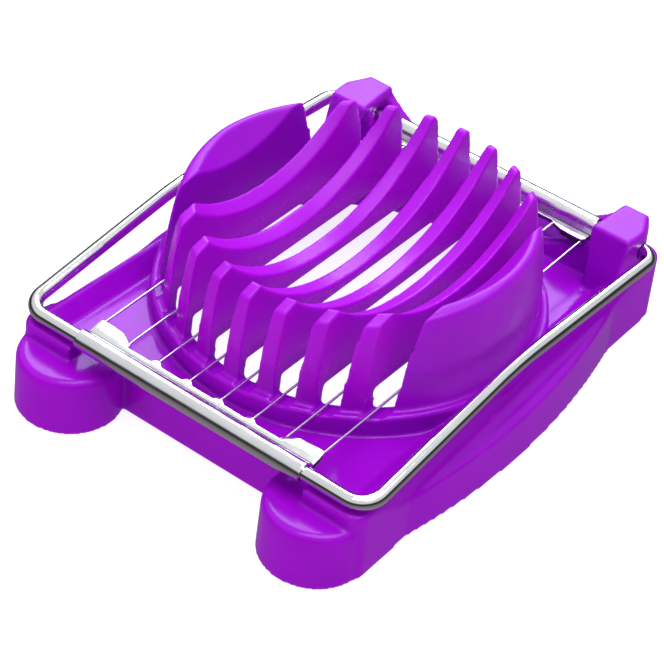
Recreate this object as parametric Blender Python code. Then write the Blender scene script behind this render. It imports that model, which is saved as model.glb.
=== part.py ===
"""Egg slicer: a one-piece plastic base with a slotted egg bowl and a hinged wire cutting frame.

Metres: X across the width, Y towards the hinge at the rear, Z up, table at Z = 0. The dimensions below are
measured from the front bar; at the end everything moves so that the origin is the middle of the footprint.
"""
import math

import bpy
import bmesh

MM = 0.001

# distance from the front bar back to the middle of the footprint
CENTRE_Y = 53.757 * MM

# frame rod (centre lines)
ROD_R = 1.65 * MM
BAR_X = 46.0 * MM
FRONT_Z = 19.4 * MM
HINGE_Y = 107.6 * MM
HINGE_Z = 22.9 * MM
KINK_Y = 50.0 * MM
KINK_Z = 25.9 * MM
FRONT_BEND_R = 5.0 * MM
REAR_BEND_R = 4.2 * MM
ROD_SIDES = 12

# cutting wires and the folded strips that hold them
WIRE_R = 0.3 * MM
WIRE_PITCH = 8.5 * MM
WIRE_COUNT = 8
WIRE_FRONT_Y = 4.6 * MM
WIRE_REAR_Y = 103.0 * MM
WIRE_GAP = 0.1 * MM
SHEET_T = 0.6 * MM
WRAP_R = 2.1 * MM
STRIP_HALF_X = 30.3 * MM
EAR_INNER_X = 19.8 * MM
FRONT_FLANGE_DZ = -0.2 * MM
REAR_FLANGE_DZ = -1.7 * MM
FLANGE_NARROW = 4.4 * MM
FLANGE_EAR = 7.4 * MM
FLANGE_TAB = 6.8 * MM
TAB_HALF = 1.4 * MM

# base moulding
FRONT_Y = -2.6 * MM
REAR_Y = 118.5 * MM
SIDE_X = 46.3 * MM
SIDE_TAPER = 0.024
BOW_DEPTH = 4.3 * MM
BOW_Y = 57.0 * MM
BOW_HALF = 40.0 * MM
DECK_Z = 14.0 * MM
RIDGE_Z = 17.35 * MM
WALL = 2.2 * MM
NOTCH_X = 31.6 * MM
NOTCH_Y = 6.4 * MM
FOOT_X = 33.8 * MM
FOOT_Y = 1.0 * MM
FOOT_R = 12.0 * MM
FOOT_Z = 13.8 * MM

# plinth, dome and egg bowl
BOWL_Y = 54.9 * MM
PLINTH_R = 44.1 * MM
PLINTH_Z = 19.2 * MM
DOME_R_LOW = 42.0 * MM
DOME_R_TOP = 38.8 * MM
DOME_Z = 42.3 * MM
DOME_WALL = 2.1 * MM
BOWL_RIM_R = 37.3 * MM
BOWL_DEPTH = 17.0 * MM
FIN_BOTTOM_Z = 23.2 * MM
SLOT_W = 4.1 * MM
SLOT_TOP_W = 6.0 * MM
RIM_DROP = 2.3 * MM
RIM_SLOPE = 1.0 * MM
SLOT_FLOOR_Z = 18.7 * MM
ROUND = 64

# hinge lugs
LUG_IN = 31.6 * MM
LUG_Z = 28.3 * MM
BORE_R = 1.95 * MM

for old in list(bpy.data.objects):
    bpy.data.objects.remove(old, do_unlink=True)


def material(name, colour, metallic, roughness):
    """Plain Principled material."""
    mat = bpy.data.materials.new(name)
    mat.use_nodes = True
    shader = mat.node_tree.nodes["Principled BSDF"]
    shader.inputs["Base Color"].default_value = (*colour, 1.0)
    shader.inputs["Metallic"].default_value = metallic
    shader.inputs["Roughness"].default_value = roughness
    return mat


PURPLE = material("purple_plastic", (0.33, 0.02, 0.62), 0.0, 0.3)
CHROME = material("chrome", (0.8, 0.8, 0.82), 1.0, 0.12)
STEEL = material("wire_steel", (0.72, 0.72, 0.74), 1.0, 0.25)


def solid(name, verts, faces, mat=None, keep=True):
    """Closed mesh object from vertices and faces, normals facing out."""
    mesh = bpy.data.meshes.new(name)
    mesh.from_pydata([tuple(v) for v in verts], [], faces)
    bm = bmesh.new()
    bm.from_mesh(mesh)
    bmesh.ops.remove_doubles(bm, verts=bm.verts, dist=0.00001)
    bmesh.ops.triangulate(bm, faces=[f for f in bm.faces if len(f.verts) > 4])
    bmesh.ops.recalc_face_normals(bm, faces=bm.faces)
    bm.to_mesh(mesh)
    bm.free()
    obj = bpy.data.objects.new(name, mesh)
    bpy.context.scene.collection.objects.link(obj)
    if mat is not None:
        mesh.materials.append(mat)
    if not keep:
        obj.display_type = "WIRE"
        obj.hide_render = True
    return obj


def loft(name, loops, mat=None, keep=True):
    """Closed body through matching loops, capped at both ends."""
    count = len(loops[0])
    verts = [v for loop in loops for v in loop]
    faces = [tuple(range(count - 1, -1, -1))]
    for level in range(len(loops) - 1):
        low = level * count
        for i in range(count):
            j = (i + 1) % count
            faces.append((low + i, low + j, low + count + j, low + count + i))
    top = (len(loops) - 1) * count
    faces.append(tuple(range(top, top + count)))
    return solid(name, verts, faces, mat, keep)


def box(name, low, high, keep=False):
    """Axis-aligned box between two corners."""
    x0, y0, z0 = low
    x1, y1, z1 = high
    ring = [(x0, y0), (x1, y0), (x1, y1), (x0, y1)]
    return loft(name, [[(x, y, z0) for x, y in ring], [(x, y, z1) for x, y in ring]], None, keep)


def turned(name, cx, cy, profile, keep=False):
    """Body of revolution about a vertical axis; profile is (radius, z) from bottom to top."""
    loops = []
    for radius, z in profile:
        ring = []
        for i in range(ROUND):
            ang = 2.0 * math.pi * (i + 0.5) / ROUND
            ring.append((cx + radius * math.cos(ang), cy + radius * math.sin(ang), z))
        loops.append(ring)
    return loft(name, loops, None, keep)


def combine(target, tools, operation):
    """Apply one exact boolean per tool to the target and drop the tools."""
    for tool in tools:
        mod = target.modifiers.new("join", "BOOLEAN")
        mod.operation = operation
        mod.solver = "EXACT"
        mod.object = tool
        bpy.context.view_layer.update()
        graph = bpy.context.evaluated_depsgraph_get()
        mesh = bpy.data.meshes.new_from_object(target.evaluated_get(graph))
        target.modifiers.remove(mod)
        target.data = mesh
        bpy.data.objects.remove(tool, do_unlink=True)
    return target


def clean(obj):
    """Weld hair-line slivers and dissolve needless flat edges."""
    bm = bmesh.new()
    bm.from_mesh(obj.data)
    bmesh.ops.remove_doubles(bm, verts=bm.verts, dist=0.00002)
    bmesh.ops.dissolve_degenerate(bm, dist=0.00002, edges=bm.edges)
    bmesh.ops.dissolve_limit(bm, angle_limit=0.004, verts=bm.verts, edges=bm.edges)
    bmesh.ops.triangulate(bm, faces=bm.faces)
    bmesh.ops.recalc_face_normals(bm, faces=bm.faces)
    bm.to_mesh(obj.data)
    bm.free()


# ---------------------------------------------------------------- base moulding

def side_x(y):
    """Half width of the straight side at y; the body narrows towards the rear."""
    return SIDE_X - SIDE_TAPER * max(0.0, y)


def bow(y):
    """Outward swell of the lower side wall."""
    t = (y - BOW_Y) / BOW_HALF
    return BOW_DEPTH * max(0.0, 1.0 - t * t)


def smooth(a, b, t):
    """Eased blend from a to b."""
    t = min(1.0, max(0.0, t))
    t = t * t * (3.0 - 2.0 * t)
    return a + (b - a) * t


def edge_z(y):
    """Height of the outer wall's top edge: low along the bow, high round the corners."""
    low = (10.0 + 0.045 * (y / MM - 20.0)) * MM
    if y < BOW_Y:
        return smooth(16.3 * MM, low, (y - 2.0 * MM) / (15.0 * MM))
    return smooth(low, 16.3 * MM, (y - 96.0 * MM) / (10.0 * MM))


def outline(inset, share, front_r=4.2 * MM, rear_r=4.6 * MM, front=None, rear=None):
    """Plan of the body, anticlockwise from the front centre; share scales the bow."""
    yf = FRONT_Y + (inset if front is None else front)
    yr = REAR_Y - (inset if rear is None else rear)
    rf = max(0.8 * MM, front_r - inset)
    rr = max(1.0 * MM, rear_r - inset)
    half = [(16.0 * MM, yf), (30.0 * MM, yf)]
    cx = side_x(0.0) - inset - rf
    for i in range(6):
        ang = -0.5 * math.pi + 0.5 * math.pi * i / 5
        half.append((cx + rf * math.cos(ang), yf + rf + rf * math.sin(ang)))
    y0 = max(5.0 * MM, yf + rf + 0.5 * MM)
    y1 = min(105.0 * MM, yr - rr - 0.5 * MM)
    for i in range(20):
        y = y0 + (y1 - y0) * i / 19
        half.append((side_x(y) - inset + share * bow(y), y))
    cx = side_x(yr - rr) - inset - rr
    for i in range(7):
        ang = 0.5 * math.pi * i / 6
        half.append((cx + rr * math.cos(ang), yr - rr + rr * math.sin(ang)))
    half.append((20.0 * MM, yr))
    return half + [(-x, y) for x, y in reversed(half)]


def skirt():
    """Outer body: bowed lower wall, ledge, ridge under the frame and the sunken deck."""
    base = outline(0.0, 1.0)
    wall = outline(0.25 * MM, 1.0)
    ledge = outline(0.7 * MM, 0.4)
    ridge = outline(2.3 * MM, 0.0)
    crest = outline(3.5 * MM, 0.0)
    deck = outline(7.0 * MM, 0.0, front=4.6 * MM, rear=14.0 * MM)
    loops = [[(x, y, 0.0) for x, y in base]]
    loops.append([(x, y, edge_z(y)) for x, y in wall])
    loops.append([(x, y, min(edge_z(y) + 0.9 * MM, RIDGE_Z - 0.25 * MM)) for x, y in ledge])
    loops.append([(x, y, RIDGE_Z) for x, y in ridge])
    loops.append([(x, y, RIDGE_Z - 0.1 * MM) for x, y in crest])
    loops.append([(x, y, DECK_Z) for x, y in deck])
    return loft("base", loops)


def foot(sign):
    """Round lobe at a front corner, its top edge softly rounded."""
    profile = [(FOOT_R, 0.0), (FOOT_R - 0.3 * MM, FOOT_Z - 1.3 * MM), (FOOT_R - 0.7 * MM, FOOT_Z - 0.4 * MM)]
    profile.append((FOOT_R - 1.5 * MM, FOOT_Z))
    return turned("foot", sign * FOOT_X, FOOT_Y, profile)


def lug(sign):
    """Hinge block with a sloping front, standing on the deck."""
    low = [(34.8, 96.6), (42.2, 96.6), (42.5, 104.0), (42.5, 108.5), (40.6, 113.8), (33.6, 113.8)]
    mid = [(32.7, 99.9), (42.2, 99.9), (42.6, 104.2), (42.6, 108.2), (40.2, 113.7), (33.0, 113.7)]
    high = [(32.2, 100.8), (42.2, 100.8), (42.6, 104.4), (42.6, 107.4), (39.8, 113.5), (33.2, 113.4)]
    top = [(32.8, 101.4), (41.7, 101.4), (42.1, 104.5), (42.1, 107.2), (39.4, 113.0), (33.6, 112.9)]
    loops = []
    for z, ring in ((12.6, low), (24.5, mid), (27.7, high), (28.3, top)):
        loops.append([(sign * x * MM, y * MM, z * MM) for x, y in ring])
    return loft("lug", loops)


def web(sign, profile, y0, y1, lean):
    """Gusset beside a lug: an X-Z outline between two Y planes, its foot leaning forward."""
    loops = []
    for y, slope in ((y0, lean), (y1, 0.0)):
        ring = []
        for x, z in profile:
            ring.append((sign * x * MM, y * MM - slope * max(0.0, 20.2 - z) * MM, z * MM))
        loops.append(ring)
    return loft("web", loops)


def domed(profile):
    """Turned dome whose rim dips and slopes outwards towards the front."""
    loops = []
    for r, z in profile:
        lift = max(0.0, (z - 30.0 * MM) / (DOME_Z - 30.0 * MM))
        edge = min(1.0, max(0.0, (r - 35.3 * MM) / (3.0 * MM)))
        reach = min(1.0, (r - 12.0 * MM) / (20.0 * MM))
        ring = []
        for i in range(ROUND):
            ang = 2.0 * math.pi * (i + 0.5) / ROUND
            front = max(0.0, -math.sin(ang))
            dip = front * reach * lift * (RIM_DROP + RIM_SLOPE * edge)
            ring.append((r * math.cos(ang), BOWL_Y + r * math.sin(ang), z - dip))
        loops.append(ring)
    return loft("dome", loops, None, False)


def body_solids():
    """Everything that adds material to the moulding."""
    parts = [foot(-1), foot(1)]
    front_web = [(15.0, 13.2), (17.0, 15.0), (21.0, 16.6), (25.0, 18.4), (29.0, 19.9), (30.7, 20.4)]
    front_web += [(31.5, 23.6), (32.6, 26.0), (36.2, 26.5), (36.2, 13.2)]
    rear_web = [(14.0, 13.2), (16.0, 17.4), (20.0, 18.6), (24.0, 20.2), (28.0, 22.4), (31.0, 24.8)]
    rear_web += [(33.2, 26.6), (36.2, 27.0), (36.2, 13.2)]
    for sign in (-1, 1):
        parts.append(lug(sign))
        parts.append(web(sign, front_web, 102.9, 105.0, 0.35))
        parts.append(web(sign, rear_web, 111.0, 113.6, 0.0))
    dome = [(PLINTH_R - 0.3 * MM, 12.5 * MM), (PLINTH_R, PLINTH_Z - 0.5 * MM), (PLINTH_R - 0.4 * MM, PLINTH_Z)]
    dome += [(DOME_R_LOW, PLINTH_Z + 0.02 * MM), (DOME_R_LOW - 0.7 * MM, 28.0 * MM)]
    dome += [(DOME_R_LOW - 1.9 * MM, 37.0 * MM), (DOME_R_TOP + 0.5 * MM, DOME_Z - 0.7 * MM)]
    dome += [(DOME_R_TOP - 0.2 * MM, DOME_Z), (35.3 * MM, DOME_Z), (12.0 * MM, DOME_Z)]
    parts.append(domed(dome))
    return parts


def cavity_solids():
    """Open hollow under the body, leaving about two millimetres of wall."""
    low = -1.0 * MM
    wide = outline(WALL, 1.0, front=NOTCH_Y - FRONT_Y + WALL)
    hollow = loft("hollow", [[(x, y, low) for x, y in wide], [(x, y, 8.4 * MM) for x, y in wide]], None, False)
    slim = outline(6.8 * MM, 0.0, front=NOTCH_Y - FRONT_Y + WALL, rear=9.0 * MM)
    upper = loft("upper", [[(x, y, low) for x, y in slim], [(x, y, DECK_Z - 2.0 * MM) for x, y in slim]], None, False)
    tools = [hollow, upper]
    for sign in (-1, 1):
        profile = [(FOOT_R - WALL, low), (FOOT_R - WALL, 11.2 * MM), (FOOT_R - WALL - 0.6 * MM, 11.6 * MM)]
        tools.append(turned("pocket", sign * FOOT_X, FOOT_Y, profile))
    under = [(39.6 * MM, low), (39.6 * MM, 18.0 * MM), (39.2 * MM, FIN_BOTTOM_Z)]
    tools.append(turned("under", 0.0, BOWL_Y, under))
    return tools


def bowl_cut():
    """Spherical egg bowl opening upwards."""
    radius = (BOWL_RIM_R ** 2 + BOWL_DEPTH ** 2) / (2.0 * BOWL_DEPTH)
    centre = DOME_Z - BOWL_DEPTH + radius
    profile = []
    for i in range(1, 12):
        r = BOWL_RIM_R * 1.03 * i / 11
        profile.append((r, centre - math.sqrt(radius ** 2 - r ** 2)))
    profile.append((BOWL_RIM_R * 1.03, DOME_Z + 6.0 * MM))
    return turned("bowl", 0.0, BOWL_Y, profile)


def wire_x(index):
    """Centre line of a wire across the width."""
    return (index - 0.5 * (WIRE_COUNT - 1)) * WIRE_PITCH


def slot_cuts():
    """One slot through the dome for each wire, widening upwards."""
    tools = []
    top = DOME_Z + 3.0 * MM
    flare = 0.5 * (SLOT_TOP_W - SLOT_W) / (DOME_Z - SLOT_FLOOR_Z)
    y0 = BOWL_Y - PLINTH_R - 0.8 * MM
    y1 = BOWL_Y + PLINTH_R + 0.8 * MM
    for i in range(WIRE_COUNT):
        x = wire_x(i)
        loops = []
        for z in (SLOT_FLOOR_Z, top):
            half = 0.5 * SLOT_W + flare * (z - SLOT_FLOOR_Z)
            loops.append([(x - half, y0, z), (x + half, y0, z), (x + half, y1, z), (x - half, y1, z)])
        tools.append(loft("slot", loops, None, False))
    return tools


def bore_cut(sign):
    """Running hole for the rear bar through a lug."""
    loops = []
    for x in (30.9 * MM, 44.0 * MM):
        ring = []
        for i in range(24):
            ang = 2.0 * math.pi * (i + 0.5) / 24
            ring.append((sign * x, HINGE_Y + BORE_R * math.cos(ang), HINGE_Z + BORE_R * math.sin(ang)))
        loops.append(ring)
    return loft("bore", loops, None, False)


def make_base():
    """Purple moulding as one body."""
    base = skirt()
    notch = box("notch", (-NOTCH_X, -20.0 * MM, -5.0 * MM), (NOTCH_X, NOTCH_Y, 40.0 * MM))
    combine(base, [notch], "DIFFERENCE")
    combine(base, body_solids(), "UNION")
    combine(base, cavity_solids(), "DIFFERENCE")
    combine(base, [bowl_cut()], "DIFFERENCE")
    combine(base, slot_cuts(), "DIFFERENCE")
    combine(base, [bore_cut(-1), bore_cut(1)], "DIFFERENCE")
    clean(base)
    base.data.materials.clear()
    base.data.materials.append(PURPLE)
    base.name = "base"
    return base


# ---------------------------------------------------------------- wire frame

def rod_z(y):
    """Height of the side bars: up to the kink at mid length and down to the hinge."""
    if y <= KINK_Y:
        return FRONT_Z + (KINK_Z - FRONT_Z) * max(0.0, y) / KINK_Y
    return KINK_Z + (HINGE_Z - KINK_Z) * min(1.0, (y - KINK_Y) / (HINGE_Y - KINK_Y))


def rod_path():
    """Closed centre line of the frame rod, anticlockwise from the front left bend."""
    path = []
    corners = [(BAR_X, 0.0, FRONT_BEND_R, -90.0), (BAR_X, HINGE_Y, REAR_BEND_R, 0.0)]
    corners += [(-BAR_X, HINGE_Y, REAR_BEND_R, 90.0), (-BAR_X, 0.0, FRONT_BEND_R, 180.0)]
    for cx, cy, bend, start in corners:
        ox = cx - math.copysign(bend, cx)
        oy = cy + (bend if cy < KINK_Y else -bend)
        for i in range(7):
            ang = math.radians(start + 90.0 * i / 6)
            x = ox + bend * math.cos(ang)
            y = oy + bend * math.sin(ang)
            path.append((x, y, rod_z(y) if 0.0 < y < HINGE_Y else (FRONT_Z if y <= 0.0 else HINGE_Z)))
        if cx > 0 and cy == 0.0:
            path += [(BAR_X, y * MM, rod_z(y * MM) - d * MM) for y, d in ((44, 0), (50, 0.25), (56, 0))]
        if cx < 0 and cy == HINGE_Y:
            path += [(-BAR_X, y * MM, rod_z(y * MM) - d * MM) for y, d in ((56, 0), (50, 0.25), (44, 0))]
    return path


def make_frame():
    """Rod bent into one closed rectangle."""
    path = rod_path()
    count = len(path)
    verts = []
    for i in range(count):
        ax, ay, az = path[i - 1]
        bx, by, bz = path[(i + 1) % count]
        tx, ty, tz = bx - ax, by - ay, bz - az
        norm = math.sqrt(tx * tx + ty * ty + tz * tz)
        tx, ty, tz = tx / norm, ty / norm, tz / norm
        flat = math.hypot(tx, ty)
        sx, sy = ty / flat, -tx / flat
        ux, uy, uz = sy * tz, -sx * tz, sx * ty - sy * tx
        px, py, pz = path[i]
        for k in range(ROD_SIDES):
            ang = 2.0 * math.pi * (k + 0.5) / ROD_SIDES
            c, s = ROD_R * math.cos(ang), ROD_R * math.sin(ang)
            verts.append((px + c * sx + s * ux, py + c * sy + s * uy, pz + s * uz))
    faces = []
    for i in range(count):
        j = (i + 1) % count
        for k in range(ROD_SIDES):
            m = (k + 1) % ROD_SIDES
            a, b = i * ROD_SIDES, j * ROD_SIDES
            faces.append((a + k, a + m, b + m, b + k))
    return solid("wire_frame", verts, faces, CHROME)


# ---------------------------------------------------------------- clamp strips and wires

def sheet_ring(points, thickness):
    """Closed outline of a folded sheet from its centre line in the Y-Z plane."""
    outer = []
    inner = []
    last = len(points) - 1
    for i, (y, z) in enumerate(points):
        y0, z0 = points[max(0, i - 1)]
        y1, z1 = points[min(last, i + 1)]
        dy, dz = y1 - y0, z1 - z0
        norm = math.hypot(dy, dz)
        ny, nz = -dz / norm, dy / norm
        outer.append((y + 0.5 * thickness * ny, z + 0.5 * thickness * nz))
        inner.append((y - 0.5 * thickness * ny, z - 0.5 * thickness * nz))
    return outer + inner[::-1]


def strip_profile(front):
    """Centre line of a strip: a wrap round the rod, then a flat flange towards the bowl."""
    points = []
    if front:
        for i in range(13):
            ang = math.radians(-50.0 - 285.0 * i / 12)
            points.append((WRAP_R * math.cos(ang), FRONT_Z + WRAP_R * math.sin(ang)))
        flange_z = FRONT_Z + FRONT_FLANGE_DZ
        points.append((2.75 * MM, flange_z + 0.25 * MM))
        points.append((3.3 * MM, flange_z))
        points.append((FLANGE_NARROW, flange_z))
        return points
    for i in range(12):
        ang = math.radians(160.0 - 255.0 * i / 11)
        points.append((HINGE_Y + WRAP_R * math.cos(ang), HINGE_Z + WRAP_R * math.sin(ang)))
    flange_z = HINGE_Z + REAR_FLANGE_DZ
    points.append((HINGE_Y - 1.6 * MM, flange_z - 0.12 * MM))
    points.append((HINGE_Y - 2.6 * MM, flange_z))
    points.append((HINGE_Y - FLANGE_NARROW, flange_z))
    return points


def plate(x0, x1, y0, y1, z):
    """Flat piece of the flange, a hair inside the sheet so that it fuses cleanly."""
    low = (x0, min(y0, y1), z - 0.5 * SHEET_T)
    high = (x1, max(y0, y1), z + 0.5 * SHEET_T)
    return box("plate", low, high)


def make_strip(name, front):
    """Folded strip with a wide ear at each end and a tab at each middle wire."""
    ring = sheet_ring(strip_profile(front), SHEET_T)
    loops = [[(x, y, z) for y, z in ring] for x in (-STRIP_HALF_X, STRIP_HALF_X)]
    strip = loft(name, loops, CHROME)
    if front:
        y0, way, z = 0.0, 1.0, FRONT_Z + FRONT_FLANGE_DZ
    else:
        y0, way, z = HINGE_Y, -1.0, HINGE_Z + REAR_FLANGE_DZ
    root = y0 + way * (FLANGE_NARROW - 0.3 * MM)
    tools = []
    for sign in (-1, 1):
        ends = sorted((sign * EAR_INNER_X, sign * STRIP_HALF_X))
        tools.append(plate(ends[0], ends[1], root, y0 + way * FLANGE_EAR, z))
    for i in range(2, WIRE_COUNT - 2):
        x = wire_x(i)
        tools.append(plate(x - TAB_HALF, x + TAB_HALF, root, y0 + way * FLANGE_TAB, z))
    combine(strip, tools, "UNION")
    clean(strip)
    strip.data.materials.clear()
    strip.data.materials.append(CHROME)
    return strip


def make_wire(index):
    """Straight cutting wire lying on the two flanges."""
    x = wire_x(index)
    lift = 0.5 * SHEET_T + WIRE_R + WIRE_GAP
    ends = [(WIRE_FRONT_Y, FRONT_Z + FRONT_FLANGE_DZ + lift), (WIRE_REAR_Y, HINGE_Z + REAR_FLANGE_DZ + lift)]
    front_edge = FLANGE_EAR - 0.8 * MM
    rear_edge = HINGE_Y - FLANGE_EAR + 0.8 * MM
    path = [ends[0], (front_edge, ends[0][1]), (rear_edge, ends[1][1]), ends[1]]
    loops = []
    for y, z in path:
        ring = []
        for k in range(8):
            ang = 2.0 * math.pi * (k + 0.5) / 8
            ring.append((x + WIRE_R * math.cos(ang), y, z + WIRE_R * math.sin(ang)))
        loops.append(ring)
    return loft("cutting_wire_%d" % (index + 1), loops, STEEL)


make_base()
make_frame()
make_strip("front_strip", True)
make_strip("rear_strip", False)
for wire in range(WIRE_COUNT):
    make_wire(wire)

pivot = (0.0, HINGE_Y - CENTRE_Y, HINGE_Z)
for obj in bpy.context.scene.collection.objects:
    moving = obj.name != "base"
    for vert in obj.data.vertices:
        vert.co.y -= CENTRE_Y
        if moving:
            vert.co.y -= pivot[1]
            vert.co.z -= pivot[2]
    if moving:
        obj.location = pivot
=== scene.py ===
"""Looks of the egg slicer: detailed stand-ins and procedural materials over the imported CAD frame."""
import math

import bpy
import bmesh
from mathutils import Matrix, Vector


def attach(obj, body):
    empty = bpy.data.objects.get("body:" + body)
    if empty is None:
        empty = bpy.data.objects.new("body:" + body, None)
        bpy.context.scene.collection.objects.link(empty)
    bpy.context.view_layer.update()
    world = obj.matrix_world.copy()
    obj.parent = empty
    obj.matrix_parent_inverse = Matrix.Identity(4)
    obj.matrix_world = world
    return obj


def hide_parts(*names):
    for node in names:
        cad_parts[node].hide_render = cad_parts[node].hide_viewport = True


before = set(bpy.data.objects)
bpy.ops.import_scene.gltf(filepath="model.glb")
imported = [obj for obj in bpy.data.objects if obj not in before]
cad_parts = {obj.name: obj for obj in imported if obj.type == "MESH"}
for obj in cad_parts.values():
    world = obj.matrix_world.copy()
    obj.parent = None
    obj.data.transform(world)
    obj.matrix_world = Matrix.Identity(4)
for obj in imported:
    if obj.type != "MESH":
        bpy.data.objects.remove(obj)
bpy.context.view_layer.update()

MM = 0.001
CENTRE_Y = 53.757 * MM

# Lengths are given from the front bar's centre line; CENTRE_Y shifts them to the middle of
# the footprint at the end.

# frame rod
ROD_R = 1.64 * MM
BAR_X = 46.0 * MM
FRONT_Z = 19.4 * MM
HINGE_Y = 107.6 * MM
HINGE_Z = 22.9 * MM
KINK_Y = 50.0 * MM
KINK_Z = 25.9 * MM
FRONT_BEND_R = 5.0 * MM
REAR_BEND_R = 4.2 * MM
KINK_SAG = 0.28
KINK_WIDTH = 3.0

# strips and wires
WIRE_R = 0.29 * MM
WIRE_PITCH = 8.5 * MM
WIRE_COUNT = 8
WIRE_FRONT_Z = 19.9 * MM
WIRE_REAR_Z = 21.9 * MM
SHEET_T = 0.5 * MM
WRAP_R = 2.05 * MM
WRAP_START = -50.0
WRAP_TURN = 306.0
STRIP_HALF_X = 30.25 * MM
MID_REACH = 4.0 * MM
TAB_REACH = 4.95 * MM
FRONT_EAR = 6.7 * MM
REAR_EAR = 6.1 * MM
LEAF_RISE = 0.2
LEAF_CLOSE = 0.14
GRIP_INSET = 1.1 * MM
STRIP_EDGE = 0.1 * MM

# base moulding
FRONT_Y = -2.6 * MM
REAR_Y = 118.5 * MM
SIDE_X = 46.3 * MM
SIDE_TAPER = 0.024
BOW_DEPTH = 4.3 * MM
BOW_Y = 57.0 * MM
BOW_HALF = 40.0 * MM
DECK_Z = 14.0 * MM
RIDGE_Z = 17.35 * MM
CORNER_TOP_Z = 16.3 * MM
FRONT_CORNER_R = 4.2 * MM
REAR_CORNER_R = 4.6 * MM
WALL = 2.2 * MM
NOTCH_X = 31.6 * MM
NOTCH_Y = 6.4 * MM
FOOT_X = 33.8 * MM
FOOT_Y = 1.0 * MM
FOOT_R = 11.97 * MM
FOOT_Z = 13.8 * MM
FOOT_SIDES = 96
BOWL_Y = 54.9 * MM
PLINTH_R = 44.1 * MM
PLINTH_Z = 19.2 * MM
DOME_R_LOW = 42.0 * MM
DOME_R_TOP = 38.8 * MM
DOME_Z = 42.28 * MM
BOWL_RIM_R = 37.3 * MM
BOWL_DEPTH = 17.0 * MM
FIN_BOTTOM_Z = 23.2 * MM
RIM_DROP = 2.3 * MM
RIM_SLOPE = 1.0 * MM
RIM_LOW_Z = 30.0 * MM
RIM_INNER_R = 35.3 * MM
RIM_WIDTH = 3.0 * MM
CAP_R = 12.0 * MM
CAP_WIDTH = 20.0 * MM
SLOT_W = 4.1 * MM
SLOT_TOP_W = 6.0 * MM
SLOT_FLOOR_Z = 18.7 * MM
BORE_R = 1.95 * MM
BORE_SIDES = 48

# mesh of the moulding
ROUND = 144
VOXEL = 0.4 * MM
SOFTEN = 4
BASE_TRIANGLES = 196000

# camera
CAMERA_AZIMUTH = math.radians(33.69)
CAMERA_ELEVATION = math.radians(39.31)
CAMERA_ROLL = math.radians(6.57)
CAMERA_LENS = 130.26
CAMERA_DISTANCE = 0.54731
CAMERA_TARGET = Vector((-0.00617, 0.05873 - CENTRE_Y, 0.0))

# light
LAMP_AIM = (0.0, 0.0, 0.02)
WORLD_STRENGTH = 0.8
WORLD_STOPS = [
    (0.0, (0.34, 0.30, 0.33)),
    (0.34, (0.22, 0.19, 0.21)),
    (0.47, (0.05, 0.05, 0.05)),
    (0.55, (0.02, 0.022, 0.022)),
    (0.66, (0.10, 0.11, 0.11)),
    (0.72, (0.85, 0.87, 0.9)),
    (1.0, (1.0, 1.0, 1.02)),
]


# ---------------------------------------------------------------- mesh helpers

def solid(name, verts, faces):
    """Closed mesh object from vertices and faces, normals facing out."""
    mesh = bpy.data.meshes.new(name)
    mesh.from_pydata([tuple(v) for v in verts], [], faces)
    bm = bmesh.new()
    bm.from_mesh(mesh)
    bmesh.ops.remove_doubles(bm, verts=bm.verts, dist=0.000005)
    bmesh.ops.recalc_face_normals(bm, faces=bm.faces)
    bm.to_mesh(mesh)
    bm.free()
    obj = bpy.data.objects.new(name, mesh)
    bpy.context.scene.collection.objects.link(obj)
    return obj


def loft(name, loops):
    """Closed body through matching loops, capped at both ends."""
    count = len(loops[0])
    verts = [v for loop in loops for v in loop]
    faces = [tuple(range(count - 1, -1, -1))]
    for level in range(len(loops) - 1):
        low = level * count
        for i in range(count):
            j = (i + 1) % count
            faces.append((low + i, low + j, low + count + j, low + count + i))
    top = (len(loops) - 1) * count
    faces.append(tuple(range(top, top + count)))
    return solid(name, verts, faces)


def box(name, low, high):
    """Axis-aligned box between two corners."""
    x0, y0, z0 = low
    x1, y1, z1 = high
    ring = [(x0, y0), (x1, y0), (x1, y1), (x0, y1)]
    return loft(name, [[(x, y, z0) for x, y in ring], [(x, y, z1) for x, y in ring]])


def turned(name, cx, cy, profile, sides=ROUND):
    """Body of revolution about a vertical axis; profile is (radius, z) from bottom to top."""
    loops = []
    for radius, z in profile:
        ring = []
        for i in range(sides):
            ang = 2.0 * math.pi * (i + 0.5) / sides
            ring.append((cx + radius * math.cos(ang), cy + radius * math.sin(ang), z))
        loops.append(ring)
    return loft(name, loops)


def bake(obj):
    """Apply the modifiers of an object to its mesh."""
    bpy.context.view_layer.update()
    graph = bpy.context.evaluated_depsgraph_get()
    mesh = bpy.data.meshes.new_from_object(obj.evaluated_get(graph))
    obj.modifiers.clear()
    obj.data = mesh


def combine(target, tools, operation):
    """Apply one exact boolean per tool to the target and drop the tools."""
    for tool in tools:
        mod = target.modifiers.new("join", "BOOLEAN")
        mod.operation = operation
        mod.solver = "EXACT"
        mod.object = tool
        bake(target)
        bpy.data.objects.remove(tool, do_unlink=True)
    return target


def place(obj):
    """Move geometry from front-bar coordinates into the row frame."""
    for vert in obj.data.vertices:
        vert.co.y -= CENTRE_Y
    return obj


def shade(obj, angle=40.0):
    """Smooth shading with sharp edges kept."""
    for poly in obj.data.polygons:
        poly.use_smooth = True
    obj.data.set_sharp_from_angle(angle=math.radians(angle))


# ---------------------------------------------------------------- base moulding

def side_x(y):
    """Half width of the straight side at y; the body narrows towards the rear."""
    return SIDE_X - SIDE_TAPER * max(0.0, y)


def bow(y):
    """Outward swell of the lower side wall."""
    t = (y - BOW_Y) / BOW_HALF
    return BOW_DEPTH * max(0.0, 1.0 - t * t)


def smooth(a, b, t):
    """Eased blend from a to b."""
    t = min(1.0, max(0.0, t))
    t = t * t * (3.0 - 2.0 * t)
    return a + (b - a) * t


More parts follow.
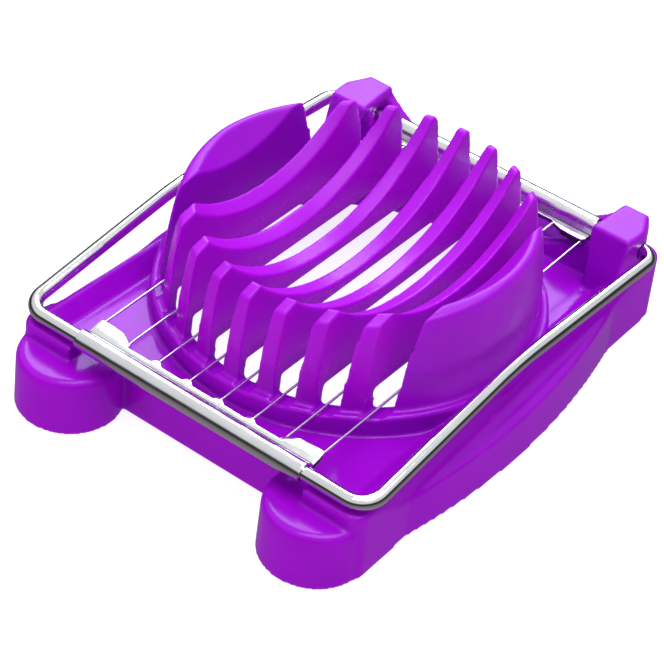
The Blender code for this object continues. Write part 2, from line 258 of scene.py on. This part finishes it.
def edge_z(y):
    """Height of the outer wall's top edge: low along the bow, high round the corners."""
    low = (10.0 + 0.045 * (y / MM - 20.0)) * MM
    if y < BOW_Y:
        return smooth(CORNER_TOP_Z, low, (y - 2.0 * MM) / (15.0 * MM))
    return smooth(low, CORNER_TOP_Z, (y - 96.0 * MM) / (10.0 * MM))


def outline(inset, share, front=None, rear=None):
    """Plan of the body, anticlockwise from the front centre; share scales the bow.

    front and rear, where given, replace the inset of the front and the rear wall.
    """
    yf = FRONT_Y + (inset if front is None else front)
    yr = REAR_Y - (inset if rear is None else rear)
    rf = max(0.8 * MM, FRONT_CORNER_R - inset)
    rr = max(1.0 * MM, REAR_CORNER_R - inset)
    half = [(16.0 * MM, yf), (30.0 * MM, yf)]
    cx = side_x(0.0) - inset - rf
    for i in range(13):
        ang = -0.5 * math.pi + 0.5 * math.pi * i / 12
        half.append((cx + rf * math.cos(ang), yf + rf + rf * math.sin(ang)))
    y0 = max(5.0 * MM, yf + rf + 0.5 * MM)
    y1 = min(105.0 * MM, yr - rr - 0.5 * MM)
    for i in range(60):
        y = y0 + (y1 - y0) * i / 59
        half.append((side_x(y) - inset + share * bow(y), y))
    cx = side_x(yr - rr) - inset - rr
    for i in range(15):
        ang = 0.5 * math.pi * i / 14
        half.append((cx + rr * math.cos(ang), yr - rr + rr * math.sin(ang)))
    half.append((20.0 * MM, yr))
    return half + [(-x, y) for x, y in reversed(half)]


def skirt():
    """Outer body: bowed lower wall, ledge, ridge under the frame and the sunken deck."""
    loops = [[(x, y, 0.0) for x, y in outline(0.0, 1.0)]]
    loops.append([(x, y, edge_z(y)) for x, y in outline(0.25 * MM, 1.0)])
    cap = RIDGE_Z - 0.25 * MM
    ledge = [(0.5 * MM, 0.72, 0.55 * MM, cap), (0.75 * MM, 0.38, 0.95 * MM, cap)]
    ledge.append((1.15 * MM, 0.16, 2.2 * MM, cap + 0.05 * MM))
    for inset, share, rise, limit in ledge:
        plan = outline(inset, share)
        loops.append([(x, y, min(edge_z(y) + rise, limit)) for x, y in plan])
    loops.append([(x, y, RIDGE_Z) for x, y in outline(2.3 * MM, 0.0)])
    loops.append([(x, y, RIDGE_Z - 0.1 * MM) for x, y in outline(3.5 * MM, 0.0)])
    deck = outline(7.0 * MM, 0.0, front=4.6 * MM, rear=14.0 * MM)
    loops.append([(x, y, DECK_Z) for x, y in deck])
    return loft("base_moulding", loops)


def foot(sign):
    """Round lobe at a front corner, its top edge softly rounded."""
    profile = [(FOOT_R, 0.0), (FOOT_R - 0.3 * MM, FOOT_Z - 1.6 * MM)]
    profile += [(FOOT_R - 0.6 * MM, FOOT_Z - 0.7 * MM), (FOOT_R - 1.1 * MM, FOOT_Z - 0.2 * MM)]
    profile.append((FOOT_R - 1.9 * MM, FOOT_Z))
    return turned("foot", sign * FOOT_X, FOOT_Y, profile, FOOT_SIDES)


def lug(sign):
    """Hinge block with a sloping front, standing on the deck."""
    # Each ring is a plan in millimetres, paired below with its height.
    low = [(34.8, 96.6), (42.2, 96.6), (42.5, 104.0), (42.5, 108.5), (40.6, 113.8), (33.6, 113.8)]
    mid = [(32.7, 99.9), (42.2, 99.9), (42.6, 104.2), (42.6, 108.2), (40.2, 113.7), (33.0, 113.7)]
    high = [(32.2, 100.8), (42.2, 100.8), (42.6, 104.4), (42.6, 107.4), (39.8, 113.5), (33.2, 113.4)]
    top = [(32.5, 101.1), (42.0, 101.1), (42.4, 104.5), (42.4, 107.3), (39.6, 113.2), (33.4, 113.1)]
    loops = []
    for z, ring in ((12.6, low), (24.5, mid), (27.7, high), (28.28, top)):
        loops.append([(sign * x * MM, y * MM, z * MM) for x, y in ring])
    return loft("lug", loops)


def curve_through(points, steps):
    """Smooth curve through points, as a list."""
    out = []
    last = len(points) - 1
    for i in range(last):
        p0, p1 = points[max(0, i - 1)], points[i]
        p2, p3 = points[i + 1], points[min(last, i + 2)]
        for k in range(steps):
            t = k / steps
            pt = []
            for a, b, c, d in zip(p0, p1, p2, p3):
                m1, m2 = 0.5 * (c - a), 0.5 * (d - b)
                h = (2 * t ** 3 - 3 * t ** 2 + 1) * b + (t ** 3 - 2 * t ** 2 + t) * m1
                pt.append(h + (-2 * t ** 3 + 3 * t ** 2) * c + (t ** 3 - t ** 2) * m2)
            out.append(tuple(pt))
    out.append(tuple(points[-1]))
    return out


def web(sign, crest, y0, y1, lean):
    """Gusset beside a lug: its crest in X and Z between two Y planes, its foot leaning forward."""
    profile = curve_through(crest, 4) + [(36.2, 13.2)]
    loops = []
    for y, slope in ((y0, lean), (y1, 0.0)):
        ring = []
        for x, z in profile:
            ring.append((sign * x * MM, y * MM - slope * max(0.0, 20.2 - z) * MM, z * MM))
        loops.append(ring)
    return loft("web", loops)


def domed(profile):
    """Turned dome whose rim dips and slopes outwards towards the front."""
    loops = []
    for r, z in profile:
        lift = max(0.0, (z - RIM_LOW_Z) / (DOME_Z - RIM_LOW_Z))
        edge = min(1.0, max(0.0, (r - RIM_INNER_R) / RIM_WIDTH))
        reach = min(1.0, (r - CAP_R) / CAP_WIDTH)
        ring = []
        for i in range(ROUND):
            ang = 2.0 * math.pi * (i + 0.5) / ROUND
            front = max(0.0, -math.sin(ang))
            dip = front * reach * lift * (RIM_DROP + RIM_SLOPE * edge)
            ring.append((r * math.cos(ang), BOWL_Y + r * math.sin(ang), z - dip))
        loops.append(ring)
    body = loft("dome", loops)
    body.modifiers.new("flat_facets", "TRIANGULATE")
    bake(body)
    return body


def body_solids():
    """Everything that adds material to the moulding."""
    parts = [foot(-1), foot(1)]
    front_crest = [(15.0, 13.2), (17.0, 15.0), (21.0, 16.6), (25.0, 18.4), (29.0, 19.9)]
    front_crest += [(30.6, 20.35), (31.5, 23.4), (32.6, 25.8), (36.2, 26.3)]
    rear_crest = [(14.0, 13.2), (16.0, 17.3), (20.0, 18.5), (24.0, 20.1), (28.0, 22.3)]
    rear_crest += [(31.0, 24.6), (33.2, 26.4), (36.2, 26.8)]
    for sign in (-1, 1):
        parts.append(lug(sign))
        parts.append(web(sign, front_crest, 102.9, 105.0, 0.35))
        parts.append(web(sign, rear_crest, 111.0, 113.6, 0.0))
    dome = [(PLINTH_R - 0.3 * MM, 12.5 * MM), (PLINTH_R, PLINTH_Z - 0.5 * MM)]
    dome.append((PLINTH_R - 0.15 * MM, PLINTH_Z - 0.15 * MM))
    dome += [(PLINTH_R - 0.5 * MM, PLINTH_Z), (DOME_R_LOW + 0.25 * MM, PLINTH_Z + 0.02 * MM)]
    dome += [(DOME_R_LOW - 0.05 * MM, PLINTH_Z + 0.35 * MM), (DOME_R_LOW - 0.3 * MM, 24.0 * MM)]
    dome += [(DOME_R_LOW - 0.75 * MM, 29.0 * MM), (DOME_R_LOW - 1.35 * MM, 34.0 * MM)]
    dome += [(DOME_R_LOW - 2.05 * MM, 38.5 * MM), (DOME_R_TOP + 0.55 * MM, DOME_Z - 1.2 * MM)]
    dome += [(DOME_R_TOP + 0.3 * MM, DOME_Z - 0.5 * MM), (DOME_R_TOP - 0.1 * MM, DOME_Z - 0.12 * MM)]
    dome += [(DOME_R_TOP - 0.5 * MM, DOME_Z), (RIM_INNER_R, DOME_Z), (CAP_R, DOME_Z)]
    parts.append(domed(dome))
    return parts


def cavity_solids():
    """Open hollow under the body, leaving about two millimetres of wall."""
    low = -1.0 * MM
    front = NOTCH_Y - FRONT_Y + WALL
    wide = outline(WALL, 1.0, front=front)
    slim = outline(6.8 * MM, 0.0, front=front, rear=9.0 * MM)
    tools = []
    for name, plan, top in (("hollow", wide, 8.4 * MM), ("upper", slim, DECK_Z - 2.0 * MM)):
        tools.append(loft(name, [[(x, y, z) for x, y in plan] for z in (low, top)]))
    inner = FOOT_R - WALL
    for sign in (-1, 1):
        profile = [(inner, low), (inner, 11.2 * MM), (inner - 0.6 * MM, 11.6 * MM)]
        tools.append(turned("pocket", sign * FOOT_X, FOOT_Y, profile, FOOT_SIDES))
    under = [(39.6 * MM, low), (39.6 * MM, 18.0 * MM), (39.2 * MM, FIN_BOTTOM_Z)]
    tools.append(turned("under", 0.0, BOWL_Y, under))
    return tools


def bowl_cut():
    """Spherical egg bowl opening upwards."""
    radius = (BOWL_RIM_R ** 2 + BOWL_DEPTH ** 2) / (2.0 * BOWL_DEPTH)
    centre = DOME_Z - BOWL_DEPTH + radius
    profile = []
    for i in range(1, 27):
        r = BOWL_RIM_R * i / 26
        profile.append((r, centre - math.sqrt(radius ** 2 - r ** 2)))
    profile[-1] = (BOWL_RIM_R, profile[-1][1] - 0.05 * MM)
    profile.append((BOWL_RIM_R + 0.35 * MM, DOME_Z + 0.1 * MM))
    profile.append((BOWL_RIM_R + 0.6 * MM, DOME_Z + 6.0 * MM))
    return turned("bowl", 0.0, BOWL_Y, profile)


def wire_x(index):
    """Centre line of a wire across the width."""
    return (index - 0.5 * (WIRE_COUNT - 1)) * WIRE_PITCH


def slot_cuts():
    """One slot through the dome for each wire, widening upwards."""
    tools = []
    top = DOME_Z + 3.0 * MM
    flare = 0.5 * (SLOT_TOP_W - SLOT_W) / (DOME_Z - SLOT_FLOOR_Z)
    y0 = BOWL_Y - PLINTH_R - 0.8 * MM
    y1 = BOWL_Y + PLINTH_R + 0.8 * MM
    for i in range(WIRE_COUNT):
        x = wire_x(i)
        loops = []
        for z in (SLOT_FLOOR_Z, top):
            half = 0.5 * SLOT_W + flare * (z - SLOT_FLOOR_Z)
            corners = [(x - half, y0), (x + half, y0), (x + half, y1), (x - half, y1)]
            loops.append([(cx, cy, z) for cx, cy in corners])
        tools.append(loft("slot", loops))
    return tools


def bore_cut(sign):
    """Running hole for the rear bar through a lug."""
    loops = []
    for x in (30.9 * MM, 44.0 * MM):
        ring = []
        for i in range(BORE_SIDES):
            ang = 2.0 * math.pi * (i + 0.5) / BORE_SIDES
            y = HINGE_Y + BORE_R * math.cos(ang)
            ring.append((sign * x, y, HINGE_Z + BORE_R * math.sin(ang)))
        loops.append(ring)
    return loft("bore", loops)


def make_base():
    """Purple moulding with rounded edges."""
    base = skirt()
    notch = box("notch", (-NOTCH_X, -20.0 * MM, -5.0 * MM), (NOTCH_X, NOTCH_Y, 40.0 * MM))
    combine(base, [notch], "DIFFERENCE")
    combine(base, body_solids(), "UNION")
    combine(base, cavity_solids(), "DIFFERENCE")
    combine(base, slot_cuts(), "DIFFERENCE")
    combine(base, [bowl_cut()], "DIFFERENCE")
    combine(base, [bore_cut(-1), bore_cut(1)], "DIFFERENCE")
    shell = base.modifiers.new("even_mesh", "REMESH")
    shell.mode = "VOXEL"
    shell.voxel_size = VOXEL
    bake(base)
    soften = base.modifiers.new("soft_edges", "SMOOTH")
    soften.factor = 0.5
    soften.iterations = SOFTEN
    thin = base.modifiers.new("thin_flats", "DECIMATE")
    thin.ratio = min(1.0, BASE_TRIANGLES / (2.0 * len(base.data.polygons)))
    bake(base)
    base.name = "base_moulding"
    base.data.materials.clear()
    return place(base)


# ---------------------------------------------------------------- rod, strips and wires

def rod_z(y):
    """Height of the side bars: up to the kink at mid length and down to the hinge."""
    if y <= KINK_Y:
        return FRONT_Z + (KINK_Z - FRONT_Z) * max(0.0, y) / KINK_Y
    return KINK_Z + (HINGE_Z - KINK_Z) * min(1.0, (y - KINK_Y) / (HINGE_Y - KINK_Y))


def rod_path():
    """Closed centre line of the frame rod, anticlockwise from the front right bend."""
    path = []
    corners = [(BAR_X, 0.0, FRONT_BEND_R, -90.0), (BAR_X, HINGE_Y, REAR_BEND_R, 0.0)]
    corners += [(-BAR_X, HINGE_Y, REAR_BEND_R, 90.0), (-BAR_X, 0.0, FRONT_BEND_R, 180.0)]
    stations = (30, 42, 45, 47, 49, 50, 51, 53, 55, 58, 75)
    kink = [(y, KINK_SAG * math.exp(-((y - KINK_Y / MM) / KINK_WIDTH) ** 2)) for y in stations]
    for cx, cy, bend, start in corners:
        ox = cx - math.copysign(bend, cx)
        oy = cy + (bend if cy < KINK_Y else -bend)
        for i in range(17):
            ang = math.radians(start + 90.0 * i / 16)
            x = ox + bend * math.cos(ang)
            y = oy + bend * math.sin(ang)
            path.append((x, y, rod_z(y)))
        if cx > 0 and cy == 0.0:
            path += [(BAR_X, y * MM, rod_z(y * MM) - d * MM) for y, d in kink]
        if cx < 0 and cy == HINGE_Y:
            path += [(-BAR_X, y * MM, rod_z(y * MM) - d * MM) for y, d in reversed(kink)]
    return path


def sweep(name, path, radius, sides, closed):
    """Round tube along a path that is never vertical."""
    count = len(path)
    loops = []
    for i in range(count):
        a = Vector(path[i - 1] if closed or i else path[0])
        b = Vector(path[(i + 1) % count] if closed or i < count - 1 else path[-1])
        t = (b - a).normalized()
        side = t.cross(Vector((0.0, 0.0, 1.0))).normalized()
        up = side.cross(t)
        ring = []
        for k in range(sides):
            ang = 2.0 * math.pi * (k + 0.5) / sides
            ring.append(Vector(path[i]) + radius * (math.cos(ang) * side + math.sin(ang) * up))
        loops.append(ring)
    if not closed:
        return loft(name, loops)
    verts = [v for ring in loops for v in ring]
    faces = []
    for i in range(count):
        a, b = i * sides, ((i + 1) % count) * sides
        for k in range(sides):
            m = (k + 1) % sides
            faces.append((a + k, a + m, b + m, b + k))
    return solid(name, verts, faces)


def leaf(points):
    """Closed outline of a sheet from its centre line in the Y-Z plane."""
    outer = []
    inner = []
    last = len(points) - 1
    for i, (y, z) in enumerate(points):
        y0, z0 = points[max(0, i - 1)]
        y1, z1 = points[min(last, i + 1)]
        norm = math.hypot(y1 - y0, z1 - z0)
        ny, nz = -(z1 - z0) / norm, (y1 - y0) / norm
        outer.append((y + 0.5 * SHEET_T * ny, z + 0.5 * SHEET_T * nz))
        inner.append((y - 0.5 * SHEET_T * ny, z - 0.5 * SHEET_T * nz))
    return outer + inner[::-1]


def fold(cy, cz, way, wire_z, reach):
    """Sheet folded round the rod: one leaf over the wires, one closing under them."""
    gap = WIRE_R + 0.5 * SHEET_T + 0.02 * MM
    shut = wire_z - gap - LEAF_CLOSE * (FRONT_EAR - reach)
    middle = (0.5 * (reach + 2.5 * MM), 0.5 * (shut + cz - 1.55 * MM) - 0.1 * MM)
    points = [(reach, shut), middle]
    for i in range(27):
        ang = math.radians(WRAP_START - WRAP_TURN * i / 26)
        points.append((WRAP_R * math.cos(ang), cz + WRAP_R * math.sin(ang)))
    crease = wire_z + gap - LEAF_RISE * (FRONT_EAR - 2.9 * MM)
    points.append((2.3 * MM, crease - 0.25 * MM))
    points.append((2.9 * MM, crease))
    points.append((reach, crease + LEAF_RISE * (reach - 2.9 * MM)))
    return [(cy + way * y, z) for y, z in leaf(points)]


def strip_steps(ear):
    """Free edge of a strip as (x, reach): slanted ears at the ends, a tab at each middle wire."""
    half = []
    for i in range(WIRE_COUNT // 2, WIRE_COUNT - 2):
        x = wire_x(i)
        half += [(x - 1.5 * MM, MID_REACH), (x - 0.45 * MM, TAB_REACH)]
        half += [(x + 0.45 * MM, TAB_REACH), (x + 1.5 * MM, MID_REACH)]
    half += [(20.6 * MM, MID_REACH), (21.0 * MM, ear - 1.7 * MM), (24.0 * MM, ear - 0.25 * MM)]
    half += [(27.0 * MM, ear), (STRIP_HALF_X - 0.5 * MM, ear), (STRIP_HALF_X, ear - 0.4 * MM)]
    return [(-x, reach) for x, reach in reversed(half)] + half


def make_strip(name, front):
    """Folded strip over the rod; its inner faces carry a near-black, rougher material as painted shade
    inside the fold.
    """
    cy, cz, way = (0.0, FRONT_Z, 1.0) if front else (HINGE_Y, HINGE_Z, -1.0)
    wire_z = WIRE_FRONT_Z if front else WIRE_REAR_Z
    loops = []
    for x, reach in strip_steps(FRONT_EAR if front else REAR_EAR):
        loops.append([(x, y, z) for y, z in fold(cy, cz, way, wire_z, reach)])
    strip = loft(name, loops)
    strip.data.materials.append(STRIP_CHROME)
    strip.data.materials.append(STRIP_INSIDE_SHADE)
    # Faces turned into the fold get the near-black material: painted shade where the rod and leaves
    # keep the light out.
    for poly in strip.data.polygons:
        centre = poly.center
        if abs(centre.y - cy) < 2.4 * MM:
            inward = Vector((0.0, cy - centre.y, cz - centre.z)).dot(poly.normal) > 0.0
        else:
            inward = (wire_z - centre.z) * poly.normal.z > 0.0
        poly.material_index = 1 if inward and abs(poly.normal.x) < 0.5 else 0
    mod = strip.modifiers.new("edge", "BEVEL")
    mod.width = STRIP_EDGE
    mod.segments = 2
    mod.limit_method = "ANGLE"
    mod.angle_limit = math.radians(50.0)
    bake(strip)
    shade(strip, 35.0)
    return place(strip)


def grip(index, ear):
    """How far a wire's end stands from the rod: near the free edge of its leaf."""
    edge = ear if index in (0, 1, WIRE_COUNT - 2, WIRE_COUNT - 1) else TAB_REACH
    return edge - GRIP_INSET


def make_wire(index):
    """Taut wire between the strips, each end kinked inside the fold."""
    x = wire_x(index)
    front = grip(index, FRONT_EAR)
    rear = HINGE_Y - grip(index, REAR_EAR)
    rise = WIRE_REAR_Z - WIRE_FRONT_Z
    path = [(x + 0.3 * MM, front - 0.9 * MM, WIRE_FRONT_Z - 0.3 * MM)]
    path.append((x + 0.1 * MM, front - 0.4 * MM, WIRE_FRONT_Z - 0.1 * MM))
    for i in range(25):
        t = i / 24
        path.append((x, front + (rear - front) * t, WIRE_FRONT_Z + rise * t))
    path.append((x - 0.1 * MM, rear + 0.4 * MM, WIRE_REAR_Z - 0.1 * MM))
    path.append((x - 0.3 * MM, rear + 0.9 * MM, WIRE_REAR_Z - 0.3 * MM))
    wire = sweep("wire_%d" % (index + 1), path, WIRE_R, 14, False)
    shade(wire, 60.0)
    return place(wire)


# ---------------------------------------------------------------- materials

class Nodes:
    """Small helper round one material's node tree."""

    def __init__(self, name):
        self.mat = bpy.data.materials.new(name)
        self.mat.use_nodes = True
        self.tree = self.mat.node_tree
        self.shader = self.tree.nodes["Principled BSDF"]
        coords = self.tree.nodes.new("ShaderNodeTexCoord")
        self.where = coords.outputs["Object"]

    def add(self, kind, **values):
        """New node with its settings."""
        node = self.tree.nodes.new(kind)
        for key, value in values.items():
            setattr(node, key, value)
        return node

    def link(self, a, b):
        """Join an output to an input."""
        self.tree.links.new(a, b)

    def noise(self, scale, detail, rough, stretch=None):
        """Noise in metres; scale counts features per metre."""
        node = self.add("ShaderNodeTexNoise")
        node.inputs["Scale"].default_value = scale
        node.inputs["Detail"].default_value = detail
        node.inputs["Roughness"].default_value = rough
        if stretch:
            mapping = self.add("ShaderNodeMapping")
            mapping.inputs["Scale"].default_value = stretch
            self.link(self.where, mapping.inputs["Vector"])
            self.link(mapping.outputs["Vector"], node.inputs["Vector"])
        else:
            self.link(self.where, node.inputs["Vector"])
        return node.outputs["Fac"]

    def ramp(self, source, stops):
        """Colour ramp over a value."""
        node = self.add("ShaderNodeValToRGB")
        ramp = node.color_ramp
        while len(ramp.elements) < len(stops):
            ramp.elements.new(0.5)
        for element, (pos, colour) in zip(ramp.elements, stops):
            element.position = pos
            element.color = (*colour, 1.0)
        self.link(source, node.inputs["Fac"])
        return node.outputs["Color"]

    def span(self, source, low, high, start, end):
        """Map start..end of a value onto low..high."""
        node = self.add("ShaderNodeMapRange")
        node.inputs["From Min"].default_value = start
        node.inputs["From Max"].default_value = end
        node.inputs["To Min"].default_value = low
        node.inputs["To Max"].default_value = high
        self.link(source, node.inputs["Value"])
        return node.outputs["Result"]

    def mix(self, factor, under, colour):
        """Mix a fixed colour over another output by a factor output."""
        node = self.add("ShaderNodeMix", data_type="RGBA")
        self.link(factor, node.inputs["Factor"])
        self.link(under, node.inputs["A"])
        node.inputs["B"].default_value = (*colour, 1.0)
        return node.outputs["Result"]

    def maths(self, operation, a, b):
        """One maths node."""
        node = self.add("ShaderNodeMath", operation=operation)
        for value, socket in ((a, node.inputs[0]), (b, node.inputs[1])):
            if isinstance(value, float):
                socket.default_value = value
            else:
                self.link(value, socket)
        return node.outputs[0]

    def bump(self, height, strength, distance, normal=None):
        """Bump over an optional earlier normal."""
        node = self.add("ShaderNodeBump")
        node.inputs["Strength"].default_value = strength
        node.inputs["Distance"].default_value = distance
        self.link(height, node.inputs["Height"])
        if normal is not None:
            self.link(normal, node.inputs["Normal"])
        return node.outputs["Normal"]


def purple_plastic():
    """Glossy moulded plastic: flow marks, sharp edges painted lighter as an edge highlight and made a
    little rougher, faint scuffs, a painted glow on the middle fins standing in for light through them.
    """
    n = Nodes("purple_plastic")
    shader = n.shader
    cloud = n.noise(55.0, 4.0, 0.55)
    flow = n.noise(90.0, 3.0, 0.6, (1.0, 0.25, 1.0))
    base = n.ramp(cloud, [(0.3, (0.270, 0.0015, 0.455)), (0.7, (0.305, 0.0025, 0.515))])
    streaked = n.mix(n.span(flow, 0.0, 0.16, 0.45, 0.75), base, (0.335, 0.004, 0.56))
    # Painted highlight: convex edges, found by pointiness, are mixed towards a lighter purple; the
    # same mask also makes them slightly rougher.
    point = n.add("ShaderNodeNewGeometry").outputs["Pointiness"]
    edge = n.span(point, 0.0, 1.0, 0.54, 0.60)
    colour = n.mix(n.maths("MULTIPLY", edge, 0.22), streaked, (0.40, 0.012, 0.66))
    n.link(colour, shader.inputs["Base Color"])
    scuff = n.noise(900.0, 6.0, 0.65, (1.0, 0.4, 1.0))
    rough = n.span(n.noise(140.0, 5.0, 0.6), 0.11, 0.17, 0.3, 0.7)
    split = n.add("ShaderNodeSeparateXYZ")
    n.link(n.where, split.inputs[0])
    rough = n.maths("ADD", rough, n.span(split.outputs["Z"], 0.0, 0.20, PLINTH_Z, 30.0 * MM))
    rough = n.maths("ADD", rough, n.span(scuff, 0.0, 0.06, 0.55, 0.8))
    rough = n.maths("ADD", rough, n.maths("MULTIPLY", edge, 0.06))
    n.link(rough, shader.inputs["Roughness"])
    fine = n.noise(2600.0, 3.0, 0.5)
    waves = n.noise(60.0, 2.0, 0.5)
    normal = n.bump(waves, 0.08, 0.0012)
    normal = n.bump(fine, 0.05, 0.0001, normal)
    n.link(normal, shader.inputs["Normal"])
    shader.inputs["IOR"].default_value = 1.5
    shader.inputs["Specular IOR Level"].default_value = 0.17
    shader.inputs["Subsurface Weight"].default_value = 0.3
    shader.inputs["Subsurface Radius"].default_value = (0.9, 0.15, 1.0)
    shader.inputs["Subsurface Scale"].default_value = 0.0035
    # Painted glow: the fins between the outer slots emit magenta above the plinth, standing in for
    # light passing through and between them.
    across = n.maths("ABSOLUTE", split.outputs["X"], 0.0)
    middle = n.span(across, 1.0, 0.0, 31.0 * MM, 32.5 * MM)
    painted_fin_glow = n.maths("MULTIPLY", middle, n.span(split.outputs["Z"], 0.0, 0.085, PLINTH_Z, 27.0 * MM))
    n.link(painted_fin_glow, shader.inputs["Emission Strength"])
    shader.inputs["Emission Color"].default_value = (0.92, 0.0, 1.0, 1.0)
    return n.mat


def chrome(name, grain, tint, low, high):
    """Bright plated steel with drawing marks and tiny pits."""
    n = Nodes(name)
    shader = n.shader
    cloud = n.noise(120.0, 4.0, 0.6)
    n.link(n.ramp(cloud, [(0.3, tint), (0.75, (0.9, 0.9, 0.905))]), shader.inputs["Base Color"])
    shader.inputs["Metallic"].default_value = 1.0
    marks = n.noise(1500.0, 5.0, 0.6, grain)
    pits = n.noise(3800.0, 2.0, 0.5)
    rough = n.span(marks, low, high, 0.35, 0.7)
    rough = n.maths("ADD", rough, n.span(pits, 0.0, 0.06, 0.66, 0.8))
    n.link(rough, shader.inputs["Roughness"])
    normal = n.bump(marks, 0.05, 0.00004)
    normal = n.bump(n.noise(260.0, 2.0, 0.5), 0.05, 0.0003, normal)
    n.link(normal, shader.inputs["Normal"])
    return n.mat


def painted_shade_steel():
    """Near-black, rougher steel for the inside of the fold as painted shade, its tone blotchy."""
    n = Nodes("strip_inside_painted_shade")
    shader = n.shader
    cloud = n.noise(700.0, 4.0, 0.6)
    shade_tone = n.ramp(cloud, [(0.3, (0.012, 0.012, 0.014)), (0.7, (0.05, 0.048, 0.045))])
    n.link(shade_tone, shader.inputs["Base Color"])
    shader.inputs["Metallic"].default_value = 0.6
    n.link(n.span(n.noise(1800.0, 3.0, 0.5), 0.45, 0.7, 0.3, 0.7), shader.inputs["Roughness"])
    n.link(n.bump(n.noise(2500.0, 3.0, 0.5), 0.1, 0.00004), shader.inputs["Normal"])
    return n.mat


def floor_material():
    """Plain pale studio floor with a very fine tooth."""
    n = Nodes("studio_floor")
    shader = n.shader
    cloud = n.noise(3.0, 3.0, 0.5)
    grey = n.ramp(cloud, [(0.3, (0.33, 0.33, 0.333)), (0.7, (0.36, 0.36, 0.362))])
    n.link(grey, shader.inputs["Base Color"])
    shader.inputs["Roughness"].default_value = 0.7
    shader.inputs["Emission Color"].default_value = (1.0, 1.0, 1.0, 1.0)
    shader.inputs["Emission Strength"].default_value = 0.82
    n.link(n.bump(n.noise(400.0, 3.0, 0.5), 0.03, 0.0002), shader.inputs["Normal"])
    return n.mat


# ---------------------------------------------------------------- pieces

PLASTIC = purple_plastic()
ROD_CHROME = chrome("rod_chrome", (1.0, 1.0, 1.0), (0.80, 0.80, 0.81), 0.05, 0.10)
STRIP_CHROME = chrome("strip_chrome", (0.15, 1.0, 1.0), (0.78, 0.78, 0.79), 0.14, 0.24)
# Near-black material for the fold's inner faces: painted shade.
STRIP_INSIDE_SHADE = painted_shade_steel()
WIRE_STEEL = chrome("wire_steel", (1.0, 0.1, 1.0), (0.70, 0.62, 0.74), 0.16, 0.26)

base = make_base()
shade(base, 60.0)
base.data.materials.append(PLASTIC)
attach(base, "base")
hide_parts("base")

rod = place(sweep("frame_rod", rod_path(), ROD_R, 32, True))
shade(rod, 60.0)
rod.data.materials.append(ROD_CHROME)
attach(rod, "cutting_frame")
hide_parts("wire_frame")

STRIPS = (("front_fold", "front_strip", True), ("rear_fold", "rear_strip", False))
for strip_name, node, is_front in STRIPS:
    strip = make_strip(strip_name, is_front)
    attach(strip, "cutting_frame")
    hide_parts(node)

for number in range(WIRE_COUNT):
    wire = make_wire(number)
    wire.data.materials.append(WIRE_STEEL)
    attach(wire, "cutting_frame")
    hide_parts("cutting_wire_%d" % (number + 1))

# ---------------------------------------------------------------- stage, light and camera

floor_mesh = bpy.data.meshes.new("floor")
floor_mesh.from_pydata([(-3, -3, 0), (3, -3, 0), (3, 3, 0), (-3, 3, 0)], [], [(0, 1, 2, 3)])
floor = bpy.data.objects.new("floor", floor_mesh)
floor.location = (0.0, 0.0, -0.0002)
floor_mesh.materials.append(floor_material())
bpy.context.scene.collection.objects.link(floor)
floor.visible_glossy = False


def area(name, spot, size, power, colour):
    """Soft square lamp aimed at the slicer."""
    lamp = bpy.data.lights.new(name, "AREA")
    lamp.energy = power
    lamp.size = size
    lamp.color = colour
    obj = bpy.data.objects.new(name, lamp)
    obj.location = spot
    towards = Vector(LAMP_AIM) - Vector(spot)
    obj.rotation_euler = towards.to_track_quat("-Z", "Y").to_euler()
    bpy.context.scene.collection.objects.link(obj)
    return obj


def studio_world():
    """Surroundings for the chrome: bright above, a dark band at the horizon, dim below."""
    world = bpy.data.worlds.new("studio")
    world.use_nodes = True
    tree = world.node_tree
    background = tree.nodes["Background"]
    background.inputs["Strength"].default_value = WORLD_STRENGTH
    coords = tree.nodes.new("ShaderNodeTexCoord")
    split = tree.nodes.new("ShaderNodeSeparateXYZ")
    height = tree.nodes.new("ShaderNodeMapRange")
    height.inputs["From Min"].default_value = -1.0
    sky = tree.nodes.new("ShaderNodeValToRGB")
    tree.links.new(coords.outputs["Generated"], split.inputs["Vector"])
    tree.links.new(split.outputs["Z"], height.inputs["Value"])
    tree.links.new(height.outputs["Result"], sky.inputs["Fac"])
    tree.links.new(sky.outputs["Color"], background.inputs["Color"])
    elements = sky.color_ramp.elements
    while len(elements) < len(WORLD_STOPS):
        elements.new(0.5)
    for element, (pos, value) in zip(elements, WORLD_STOPS):
        element.position = pos
        element.color = (*value, 1.0)
    return world


def make_camera():
    """Long lens, turned and rolled about its target on the table."""
    az, el = CAMERA_AZIMUTH, CAMERA_ELEVATION
    back = Vector((math.sin(az) * math.cos(el), -math.cos(az) * math.cos(el), math.sin(el)))
    right = Vector((math.cos(az), math.sin(az), 0.0))
    up = back.cross(right)
    right_rolled = right * math.cos(CAMERA_ROLL) + up * math.sin(CAMERA_ROLL)
    up_rolled = up * math.cos(CAMERA_ROLL) - right * math.sin(CAMERA_ROLL)
    data = bpy.data.cameras.new("camera")
    data.sensor_width = 36.0
    data.lens = CAMERA_LENS
    data.clip_start = 0.01
    camera = bpy.data.objects.new("camera", data)
    matrix = Matrix((right_rolled, up_rolled, back)).transposed().to_4x4()
    matrix.translation = CAMERA_TARGET + back * CAMERA_DISTANCE
    camera.matrix_world = matrix
    bpy.context.scene.collection.objects.link(camera)
    return camera


area("top_soft", (0.14, 0.02, 1.0), 0.7, 8.0, (0.95, 0.97, 1.05))
area("window", (-0.48, 0.72, 0.70), 0.62, 7.0, (0.90, 0.95, 1.08))
for spot, power in (((-0.35, -0.9, 0.45), 2.3), ((0.95, -0.15, 0.4), 0.5)):
    fill = area("fill", spot, 0.5, power, (1.05, 0.98, 0.96))
    fill.visible_glossy = False

bpy.context.scene.world = studio_world()
bpy.context.scene.camera = make_camera()
bpy.context.scene.view_settings.view_transform = "Standard"
